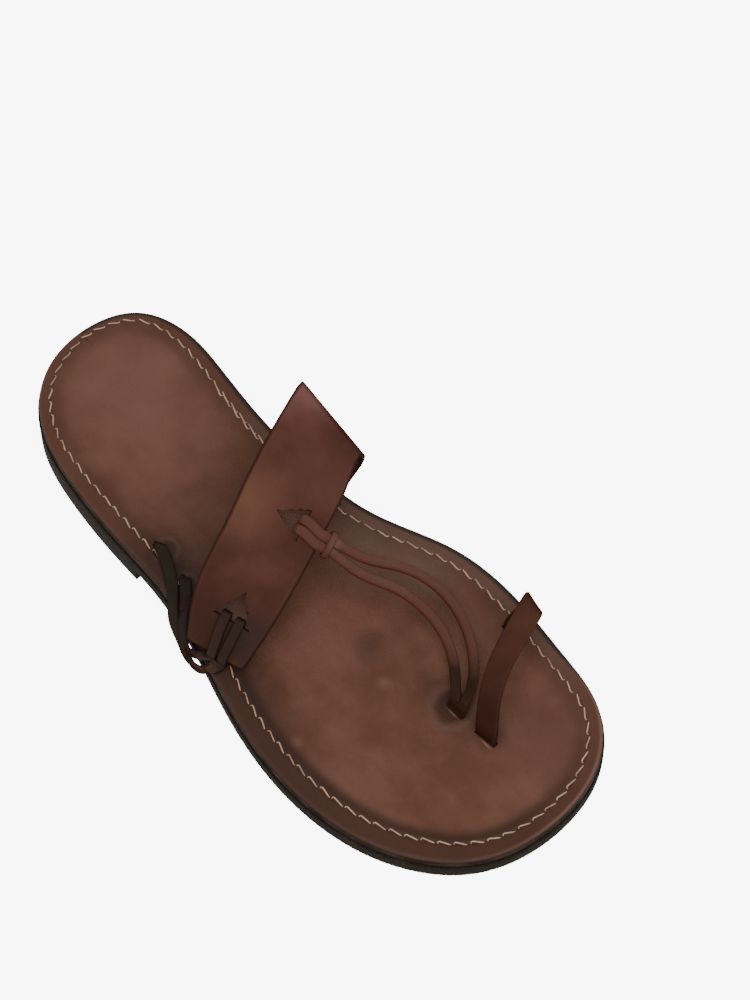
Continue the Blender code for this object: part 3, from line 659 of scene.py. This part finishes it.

# The margin outside the seam keeps its dye; its shoulder is polished by rubbing and carries a painted
# highlight, and its edge is painted dark.
margin = ranged(tree, inside, 6.4, 5.6)
colour = mix(tree, faded(tree, margin, 0.6), colour, FOOTBED_BROWN)
# Painted sheen: the margin is greyed on the medial side, as white paper reflected in it.
medial = sums(tree, "MULTIPLY", ranged(tree, round_place, 0.12, 0.16), ranged(tree, round_place, 0.42, 0.36))
colour = mix(tree, faded(tree, sums(tree, "MULTIPLY", margin, medial), 0.5), colour, FOOTBED_SHEEN_GREY)
margin_dark = sums(tree, "MULTIPLY", margin, sums(tree, "MULTIPLY_ADD", lateral, 0.4, 0.2))
colour = mix(tree, margin_dark, colour, FOOTBED_DEEP)
colour = patched(tree, place, colour, (((41, -30, 13), 26, (1.0, 0.7, 1.0), 0.7, FOOTBED_DEEP),))
# Painted highlight: a pale band on the rounded shoulder, strongest round the toe; the same mask lowers the
# roughness where rubbing polished it.
toe_rub_and_highlight = sums(tree, "MULTIPLY", ranged(tree, round_place, 0.36, 0.43), ranged(tree, round_place, 0.54, 0.47))
shoulder_polish_and_highlight = sums(tree, "MULTIPLY", ranged(tree, inside, 0.3, 0.7), ranged(tree, inside, 2.0, 0.9))
shoulder_polish_and_highlight = sums(tree, "MULTIPLY", shoulder_polish_and_highlight, sums(tree, "MULTIPLY_ADD", toe_rub_and_highlight, 0.85, 0.06))
colour = mix(tree, shoulder_polish_and_highlight, colour, EDGE_POLISH_HIGHLIGHT)
# The dark edge paint reaches further in on the medial side, where it is painted shade on the shoulder that
# turns away.
dye_and_shade_reach = ranged(tree, round_place, 0.36, 0.42, 3.0, 0.45)
colour = mix(tree, ranged(tree, sums(tree, "DIVIDE", inside, dye_and_shade_reach), 1.0, 0.3), colour, EDGE_DYE)
tree.links.new(colour, shader.inputs["Base Color"])
roughness = ranged(tree, grain["Clouds"], 0.0, 1.0, 0.55, 0.42)
tree.links.new(sums(tree, "MULTIPLY_ADD", shoulder_polish_and_highlight, -0.1, roughness), shader.inputs["Roughness"])
shader.inputs["Specular IOR Level"].default_value = 0.13
grained = bumped(tree, grain["Height"], 0.35, 0.25 * MM)
tree.links.new(bumped(tree, lips, 0.6, 0.6 * MM, grained), shader.inputs["Normal"])
insole.data.materials.append(finish)

# The cut edge is painted nearly black, and the paint is dull.
finish, tree, shader, place = new_finish("edge paint")
grain = hide_grain(tree, place, pore_size=0.5, cloud_size=9.0)
tree.links.new(mix(tree, grain["Clouds"], EDGE_DYE, EDGE_RUBBED), shader.inputs["Base Color"])
tree.links.new(ranged(tree, grain["Clouds"], 0.0, 1.0, 0.75, 0.6), shader.inputs["Roughness"])
shader.inputs["Specular IOR Level"].default_value = 0.03
tree.links.new(bumped(tree, grain["Height"], 0.3, 0.15 * MM), shader.inputs["Normal"])
insole.data.materials.append(finish)
depth_marks = insole.data.attributes["inside"].data
for face in insole.data.polygons:
    face.material_index = int(max(depth_marks[i].value for i in face.vertices) < PAINTED)
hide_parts("insole")
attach(insole, "root")

# ---- Seam ----
# Waxed cream thread, lockstitched right round through insole and outsole, each stitch pulled slightly aslant.
# It starts and ends beside the instep strap on the medial side, where a few stitches lie double.
STITCH_PITCH = 5.9 * MM
THREAD = 0.6 * MM
THREAD_FLAT = 0.42 * THREAD         # half the height of the pressed thread
THREAD_DIP = 0.6 * THREAD           # a stitch's ends go down into their holes by this
THREAD_LIE = 0.34 * THREAD          # its middle lies this far above the groove
DOUBLE_FROM, DOUBLE_TO = 0.1, 0.155 # the double stitches, by the share of the way round
DOUBLE_ON = 0.45                    # a second stitch lies this share of a pitch further on,
DOUBLE_ASIDE = 0.75 * MM            # this far aside
DOUBLE_ABOVE = 0.3 * MM             # and this far above the first

# A stitch runs along the seam and a little inwards, then hooks back into the next hole: share of its length,
# and place along and outwards, mm.
STITCH_PATH = ((0.0, -2.7, 0.6), (0.76, 2.1, -0.55), (0.88, 2.6, -0.4), (1.0, 2.65, 0.55))
STITCH_STEP = 0.06                  # the next place on it, to tell its direction
STITCH_END_WAY = (0.05, 0.95)       # its direction where no next place is left

# The stitcher's hand: spread of the places along and across the seam, and of the turn.
SPREAD_ALONG = 0.12 * MM
SPREAD_ACROSS = 0.08 * MM
SPREAD_TURN = 0.03
THREAD_CREAM = (0.37, 0.24, 0.17, 1.0)
THREAD_SOIL_AND_SHADE = (0.20, 0.11, 0.075, 1.0)

bpy.ops.object.select_all(action="DESELECT")
bpy.ops.mesh.primitive_uv_sphere_add(segments=8, ring_count=14, radius=1.0, rotation=(0.0, math.pi / 2, 0.0))
stitch = bpy.context.object
bpy.ops.object.transform_apply(location=True, rotation=True, scale=True)
path_share, path_along, path_across = np.array(STITCH_PATH).T


def on_stitch(at):
    """Place on a stitch, mm, at a share of its length."""
    return np.array([np.interp(at, path_share, path_along), np.interp(at, path_share, path_across)])


for vertex in stitch.data.vertices:
    x, y, z = vertex.co
    at = (x + 1.0) / 2
    here = on_stitch(at)
    way = on_stitch(at + STITCH_STEP) - here if at < 1.0 - STITCH_STEP else np.array(STITCH_END_WAY)
    way /= np.linalg.norm(way)
    girth = (1.0 - abs(x) ** 4) ** 0.5 / max((1.0 - x * x) ** 0.5, 0.05) if abs(x) < 0.999 else 0.0
    flat = here * MM + np.array([-way[1], way[0]]) * y * girth * THREAD / 2
    vertex.co = (flat[0], flat[1], z * girth * THREAD_FLAT - x ** 6 * THREAD_DIP)
stitch.data.update()

seam_margin = np.interp(walked[:-1] / walked[-1], share, margins) * MM
seam_places = leather_edge + inward(leather_edge) * seam_margin[:, None]
seam_steps = np.linalg.norm(np.roll(seam_places, -1, axis=0) - seam_places, axis=1)
seam_walk = np.concatenate([[0.0], np.cumsum(seam_steps)])
seam_ring = np.vstack([seam_places, seam_places[:1]])
count = round(seam_walk[-1] / STITCH_PITCH)
pitch = seam_walk[-1] / count


def on_seam(walk):
    """Place and direction on the seam, so far along it."""
    here, ahead = (
        np.array([np.interp(w % seam_walk[-1], seam_walk, seam_ring[:, k]) for k in (0, 1)])
        for w in (walk, walk + 2 * MM))
    return here, (ahead - here) / np.linalg.norm(ahead - here)


chance = np.random.default_rng(7)
stops = [(k * pitch, 0.0) for k in range(count)]
stops += [
    (k * pitch + DOUBLE_ON * pitch, DOUBLE_ASIDE)
    for k in range(count) if DOUBLE_FROM < k / count < DOUBLE_TO]
copies = []
for walk, aside in stops:
    here, way = on_seam(walk + chance.normal(0.0, SPREAD_ALONG))
    here = here + np.array([way[1], -way[0]]) * (aside + chance.normal(0.0, SPREAD_ACROSS))
    turn = math.atan2(way[1], way[0]) + chance.normal(0.0, SPREAD_TURN)
    height = float(footbed(here[1], SEAM_MARGIN)) + THREAD_LIE + (DOUBLE_ABOVE if aside else 0.0)
    copy = stitch.copy()
    copy.data = stitch.data.copy()
    bpy.context.scene.collection.objects.link(copy)
    copy.location = (here[0], here[1], height)
    copy.rotation_euler = (0.0, 0.0, turn)
    copies.append(copy)
bpy.data.objects.remove(stitch, do_unlink=True)
bpy.ops.object.select_all(action="DESELECT")
for copy in copies:
    copy.select_set(True)
bpy.context.view_layer.objects.active = copies[0]
bpy.ops.object.join()
seam = bpy.context.object
seam.name = "seam_thread"
bpy.ops.object.transform_apply(location=True, rotation=True, scale=True)
bpy.ops.object.shade_smooth()

finish, tree, shader, place = new_finish("waxed thread")
soil = noise(tree, place, 160.0, 3.0)
twist_place = add(tree, "ShaderNodeUVMap", uv_map=seam.data.uv_layers[0].name)
twist = add(
    tree, "ShaderNodeTexWave", {"Vector": twist_place.outputs["UV"], "Scale": 3.0, "Distortion": 0.4},
    wave_type="BANDS", bands_direction="DIAGONAL")
strands = ranged(tree, twist.outputs["Fac"], 0.0, 0.5)
colour = mix(tree, ranged(tree, soil, 0.4, 0.72), THREAD_CREAM, THREAD_SOIL_AND_SHADE)
# Painted shade: darker in the grooves between the twists.
colour = mix(tree, sums(tree, "MULTIPLY_ADD", strands, -0.4, 0.4), colour, THREAD_SOIL_AND_SHADE)
tree.links.new(colour, shader.inputs["Base Color"])
tree.links.new(ranged(tree, strands, 0.0, 1.0, 0.7, 0.55), shader.inputs["Roughness"])
tree.links.new(bumped(tree, strands, 0.5, 0.15 * MM), shader.inputs["Normal"])
seam.data.materials.append(finish)
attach(seam, "root")

# ---- Instep strap ----
# One wide strip of smooth strap leather, let into the insole on the medial side and bent over the instep.
# Two arrow-shaped holes are punched in it for the laces; its cut edges are left bare, darkened with dye and
# with painted shade.
QUAD_BEND = math.radians(35.0)      # triangles that bend less than this are joined
CUT_SHARP = math.radians(38.0)      # edges that turn more than this keep nearly their shape
WALL_EDGE = 0.5                     # mark of a cut wall's corners that a flat face shares


def start_from(node, name):
    """A copy of a solid's mesh, its corners joined and in quads where it can be, alone selected."""
    bpy.ops.object.select_all(action="DESELECT")
    piece = bpy.data.objects.new(name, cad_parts[node].data.copy())
    bpy.context.scene.collection.objects.link(piece)
    piece.data.materials.clear()
    piece.select_set(True)
    bpy.context.view_layer.objects.active = piece
    bpy.context.tool_settings.mesh_select_mode = (False, True, False)
    bpy.ops.object.mode_set(mode="EDIT")
    bpy.ops.mesh.select_all(action="SELECT")
    bpy.ops.mesh.remove_doubles(threshold=1e-6)
    bpy.ops.mesh.tris_convert_to_quads(face_threshold=QUAD_BEND, shape_threshold=math.pi)
    bpy.ops.object.mode_set(mode="OBJECT")
    return piece


def make_supple(piece, levels, crease):
    """Rounds a piece as bent leather is, and keeps its cut edges nearly square."""
    bpy.ops.object.mode_set(mode="EDIT")
    bpy.ops.mesh.select_all(action="DESELECT")
    bpy.ops.mesh.edges_select_sharp(sharpness=CUT_SHARP)
    bpy.ops.transform.edge_crease(value=crease)
    bpy.ops.object.mode_set(mode="OBJECT")
    round_off = piece.modifiers.new("round off", "SUBSURF")
    round_off.levels = levels
    round_off.render_levels = levels
    bpy.ops.object.modifier_apply(modifier=round_off.name)
    bpy.ops.object.shade_smooth()


def mark_edges(piece, passes):
    """Writes how sharply the leather turns at each corner of the mesh, as the value called edge."""
    mesh = piece.data
    outward = np.array([vertex.normal for vertex in mesh.vertices])
    ends = np.empty(len(mesh.edges) * 2, int)
    mesh.edges.foreach_get("vertices", ends)
    first, second = ends.reshape(-1, 2).T
    joined = np.bincount(ends, minlength=len(outward))

    def around_mean(values):
        total = np.zeros_like(values)
        np.add.at(total, first, values[second])
        np.add.at(total, second, values[first])
        return total / joined[:, None]

    smooth_way = outward
    for _ in range(passes):
        smooth_way = (smooth_way + around_mean(smooth_way)) / 2
    length = np.linalg.norm(smooth_way, axis=1)
    turned = 1.0 - (smooth_way * outward).sum(axis=1) / np.maximum(length, 1e-6)
    value = np.clip((1.0 - length) * 2.2 + turned, 0.0, 1.0)
    mesh.attributes.new("edge", "FLOAT", "POINT").data.foreach_set("value", value)


def mark_walls(piece, narrow):
    """Writes 1 on a lace's lateral cut walls, less where a flat face joins them, as the value called wall."""
    mesh = piece.data
    flat = np.zeros(len(mesh.vertices), bool)
    walls = []
    for face in mesh.polygons:
        corners = list(face.vertices)
        longest = max((mesh.vertices[a].co - mesh.vertices[b].co).length for a, b in face.edge_keys)
        if face.area > longest * narrow:
            flat[corners] = True
        elif face.normal.x > 0.1:
            walls.append(corners)
    value = np.zeros(len(mesh.vertices))
    for corners in walls:
        value[corners] = np.where(flat[corners], WALL_EDGE, 1.0)
    mesh.attributes.new("wall", "FLOAT", "POINT").data.foreach_set("value", value)


STRAP_BROWN = (0.060, 0.0215, 0.0155, 1.0)
STRAP_PALE = (0.092, 0.039, 0.024, 1.0)
STRAP_DEEP = (0.026, 0.009, 0.006, 1.0)
STRAP_FOOT_DARK = (0.020, 0.0125, 0.010, 1.0)
CUT_DARK = (0.016, 0.005, 0.003, 1.0)
WALL_RED_SHADE = (0.050, 0.009, 0.0045, 1.0)
STRAP_ROSE_HIGHLIGHT = (0.125, 0.052, 0.046, 1.0)


def strap_leather(name, brown, pale, deep, pore_size, cloud_size, gloss, patches):
    """Smooth strap leather: clouded dye, soft patches as patched takes them, dark bare edges partly painted
    shade, a painted highlight beside them, and painted shade where the surface is seen edge-on.
    """
    finish, tree, shader, place = new_finish(name)
    grain = hide_grain(tree, place, pore_size, cloud_size)
    edge = marks(tree, "edge")
    colour = mix(tree, ranged(tree, grain["Clouds"], 0.0, 1.0, 0.5, 1.0), deep, brown)
    colour = mix(tree, faded(tree, grain["Streaks"], 0.15), colour, deep)
    # A lace's lateral cut walls are painted dark red: partly the cut edge's own colour, partly painted shade
    # on that side.
    colour = mix(tree, faded(tree, ranged(tree, marks(tree, "wall"), 0.25, 0.6), 0.9), colour, WALL_RED_SHADE)
    colour = patched(tree, place, colour, patches)
    # Painted highlight: a thin pale band just inside the cut edges.
    colour = mix(tree, faded(tree, ranged(tree, edge, 0.08, 0.2), 0.06), colour, pale)
    # The cut edges are darkened with dye, and with painted shade along them.
    colour = mix(tree, faded(tree, ranged(tree, edge, 0.22, 0.45), 0.85), colour, CUT_DARK)
    # Painted shade: darker where the surface is seen edge-on.
    facing = add(tree, "ShaderNodeLayerWeight", {"Blend": 0.5}).outputs["Facing"]
    colour = mix(tree, ranged(tree, facing, 0.38, 0.75, 0.0, 0.65), colour, deep)
    tree.links.new(colour, shader.inputs["Base Color"])
    tree.links.new(ranged(tree, grain["Clouds"], 0.0, 1.0, 0.68, 0.52), shader.inputs["Roughness"])
    tree.links.new(ranged(tree, facing, 0.2, 0.55, gloss, 0.0), shader.inputs["Specular IOR Level"])
    tree.links.new(bumped(tree, grain["Height"], 0.25, 0.2 * MM), shader.inputs["Normal"])
    return finish


strap = start_from("upper_instep_strap", "instep_strap")
make_supple(strap, levels=3, crease=0.55)
mark_edges(strap, passes=14)
strap.data.materials.append(strap_leather(
    "instep strap leather", STRAP_BROWN, STRAP_PALE, STRAP_DEEP,
    pore_size=0.7, cloud_size=30.0, gloss=0.05, patches=(
        ((6, -20, 50), 22, EVEN, 0.85, STRAP_PALE),
        # Painted highlight near the top of the crown.
        ((-36, -36, 58), 20, EVEN, 0.9, STRAP_ROSE_HIGHLIGHT),
        ((-10, -4, 50), 18, EVEN, 0.5, STRAP_BROWN),
        # Darker towards its lateral foot.
        ((42, -2, 22), 36, EVEN, 0.9, STRAP_DEEP),
        ((34, 11, 22), 17, EVEN, 0.8, STRAP_FOOT_DARK))))
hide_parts("upper_instep_strap")
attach(strap, "root")

# ---- Front lace ----
# A narrow lace slit in two, hitched round the strap's front margin through its hole and held by its own ring.
# Both strands run forward side by side and go down through one slit between the first toes.
WALL_NARROW = 0.8 * MM              # a face narrower than this is a cut wall
LACE_SHADED = (0.0135, 0.0088, 0.0064, 1.0)
BAND_DARK = (0.022, 0.0095, 0.0065, 1.0)
LACE_PALE = (0.069, 0.031, 0.022, 1.0)
LACE_DEEP = (0.014, 0.006, 0.004, 1.0)
LACE_SLIT_SHADE = (0.019, 0.008, 0.0035, 1.0)
RING_HIGHLIGHT = (0.150, 0.095, 0.080, 1.0)

front_lace = start_from("upper_front_thong", "front_lace")
mark_walls(front_lace, WALL_NARROW)
make_supple(front_lace, levels=2, crease=0.6)
mark_edges(front_lace, passes=8)
front_lace.data.materials.append(strap_leather(
    "front lace leather", LACE_PALE, LACE_PALE, STRAP_BROWN,
    pore_size=0.6, cloud_size=14.0, gloss=0.06, patches=(
        ((-4, 3, 43), 18, EVEN, 0.8, STRAP_BROWN),
        # Painted highlight on the ring.
        ((-9.7, 8.0, 38), 5.5, EVEN, 0.5, RING_HIGHLIGHT),
        # Painted shade: darker towards the slit, where the strands turn down into it.
        ((-9, 71, 14), 20, EVEN, 1.8, LACE_SLIT_SHADE))))
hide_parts("upper_front_thong")
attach(front_lace, "root")

# ---- Side lace ----
# The same lace on the lateral side: two strands come up through the insole, pass over its edge and are
# hitched through the strap's second hole.
# The side lace is coloured much darker than the front lace: painted shade.
side_lace = start_from("upper_side_thong", "side_lace")
make_supple(side_lace, levels=2, crease=0.6)
mark_edges(side_lace, passes=8)
side_lace.data.materials.append(strap_leather(
    "side lace leather", LACE_SHADED, LACE_PALE, LACE_DEEP,
    pore_size=0.6, cloud_size=14.0, gloss=0.07, patches=(
        ((40, 2, 24), 16, EVEN, 0.9, BAND_DARK),
        # Painted highlight on the strands' crossing, in the front lace's paler colour.
        ((50, 6, 12), 9, EVEN, 0.6, LACE_PALE))))
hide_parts("upper_side_thong")
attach(side_lace, "root")

# ---- Toe loop ----
# A short band of strap leather that stands over the big toe, with bare dark edges like the instep strap's.
# Both its ends are let into slits in the insole and glued below it.
LOOP_BROWN = (0.047, 0.0165, 0.0098, 1.0)

toe_loop = start_from("upper_toe_loop", "toe_loop")
make_supple(toe_loop, levels=3, crease=0.45)
mark_edges(toe_loop, passes=4)
toe_loop.data.materials.append(strap_leather(
    "toe loop leather", LOOP_BROWN, STRAP_BROWN, STRAP_DEEP,
    pore_size=0.6, cloud_size=16.0, gloss=0.045, patches=(
        ((-40, 78, 37), 10, EVEN, 0.3, STRAP_PALE),
        # Painted shade down the loop's medial leg.
        ((-47, 70, 22), 16, EVEN, 1.0, STRAP_DEEP),
        ((-14, 90, 22), 26, EVEN, 0.85, STRAP_DEEP))))
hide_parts("upper_toe_loop")
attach(toe_loop, "root")
